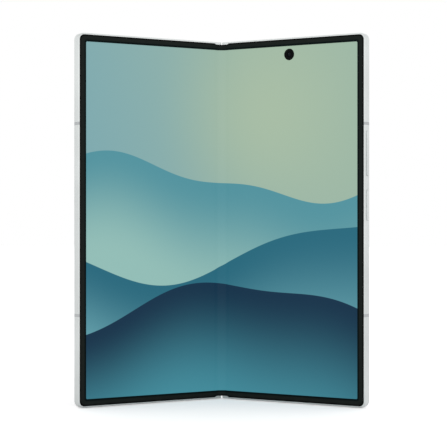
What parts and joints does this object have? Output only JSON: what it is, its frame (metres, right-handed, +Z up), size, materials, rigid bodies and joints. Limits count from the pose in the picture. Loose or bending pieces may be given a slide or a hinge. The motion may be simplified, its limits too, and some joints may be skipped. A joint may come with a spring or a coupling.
{
  "type": "foldable smartphone",
  "caption": "Book-style foldable phone standing half open as a V, with a bending inner display, an outer display, side keys and rear cameras.",
  "frame": {"origin": "middle of the bounding box's base, on the surface that the phone stands on", "axes": "+X to the viewer's right across both halves, +Y away from the viewer towards the hinge, +Z up along the fold"},
  "size_m": [0.125, 0.041, 0.1584],
  "materials": {
    "satin_metal": "satin anodised silver",
    "hinge_steel": "fine ground steel",
    "screw_steel": "plated screw",
    "inner_steel": "stamped steel",
    "support_plate": "thin dark steel plate",
    "inner_display": "lit display under a clear protective film",
    "black_trim": "soft black trim",
    "back_glass": "pale frosted back glass, opaque",
    "antenna_plastic": "grey moulded plastic",
    "magnet": "nickel plated magnet",
    "lens_ring": "polished metal ring",
    "lens_glass": "dark lens glass",
    "camera_black": "black camera module",
    "flash_lens": "ribbed diffuser over a lamp",
    "board": "green circuit board",
    "battery": "wrapped battery cell",
    "copper": "enamelled copper coil",
    "port_steel": "drawn steel shell",
    "module_plastic": "moulded module housing",
    "outer_glass": "dark outer glass over a display that is off",
    "outer_display": "outer display panel"
  },
  "bodies": {
    "spine": {"hinge_cover": "satin_metal", "hinge_housings": "hinge_steel", "housing_screws": "screw_steel", "display_fold_zone": "inner_display", "bezel_fold_strips": "black_trim"},
    "main_half": {"frame_main": "satin_metal", "bezel_main": "black_trim", "display_main": "inner_display", "display_plate_main": "support_plate", "back_glass": "back_glass", "hinge_brackets_main": "hinge_steel", "bracket_screws_main": "screw_steel", "antenna_lines_main": "antenna_plastic", "magnets_main": "magnet", "camera_island": "satin_metal", "lens_rings": "lens_ring", "lens_glasses": "lens_glass", "rear_cameras": "camera_black", "flash": "flash_lens", "selfie_camera": "camera_black", "main_board": "board", "chip_shields": "inner_steel", "battery_main": "battery", "charging_coil": "copper", "usb_c_receptacle": "port_steel", "usb_board": "board", "loudspeaker": "module_plastic", "vibration_motor": "inner_steel", "key_switches": "module_plastic"},
    "cover_half": {"frame_cover": "satin_metal", "bezel_cover": "black_trim", "display_cover": "inner_display", "display_plate_cover": "support_plate", "outer_glass": "outer_glass", "outer_display": "outer_display", "hinge_brackets_cover": "hinge_steel", "bracket_screws_cover": "screw_steel", "antenna_lines_cover": "antenna_plastic", "magnets_cover": "magnet", "outer_camera": "camera_black", "sub_board": "board", "sim_reader": "inner_steel", "earpiece": "module_plastic", "battery_cover": "battery"},
    "wing_main": {"wing_plate_main": "inner_steel"},
    "wing_cover": {"wing_plate_cover": "inner_steel"},
    "volume_key": {"volume_key": "satin_metal"},
    "power_key": {"power_key": "satin_metal"},
    "sim_tray": {"sim_tray": "satin_metal"}
  },
  "joints": [
    {"name": "main_fold", "type": "hinge", "parent": "spine", "child": "main_half", "pos_m": [0.00125, 0.01743, 0], "axis": [0, 0, -1], "range_deg": [-32, 58], "deforming": ["display_fold_zone", "bezel_fold_strips"]},
    {"name": "cover_fold", "type": "hinge", "parent": "spine", "child": "cover_half", "pos_m": [-0.00125, 0.01743, 0], "axis": [0, 0, 1], "range_deg": [-32, 58]},
    {"name": "wing_main_tilt", "type": "hinge", "parent": "main_half", "child": "wing_main", "pos_m": [0.00475, 0.01519, 0], "axis": [0, 0, -1], "range_deg": [-4.27, 7.73]},
    {"name": "wing_cover_tilt", "type": "hinge", "parent": "cover_half", "child": "wing_cover", "pos_m": [-0.00475, 0.01519, 0], "axis": [0, 0, 1], "range_deg": [-4.27, 7.73]},
    {"name": "volume_press", "type": "slide", "parent": "main_half", "child": "volume_key", "axis": [-0.848, 0.5299, 0], "range_m": [0, 0.00025], "stiffness_N_per_m": 5000, "springref_m": -0.0002},
    {"name": "power_press", "type": "slide", "parent": "main_half", "child": "power_key", "axis": [-0.848, 0.5299, 0], "range_m": [0, 0.00025], "stiffness_N_per_m": 5000, "springref_m": -0.0002},
    {"name": "sim_tray_slide", "type": "slide", "parent": "cover_half", "child": "sim_tray", "axis": [0, 0, 1], "range_m": [0, 0.015]}
  ],
  "couplings": [
    {"joint": "cover_fold", "follows": "main_fold", "ratio": 1},
    {"joint": "wing_main_tilt", "follows": "main_fold", "ratio": 0.13333},
    {"joint": "wing_cover_tilt", "follows": "main_fold", "ratio": 0.13333}
  ]
}
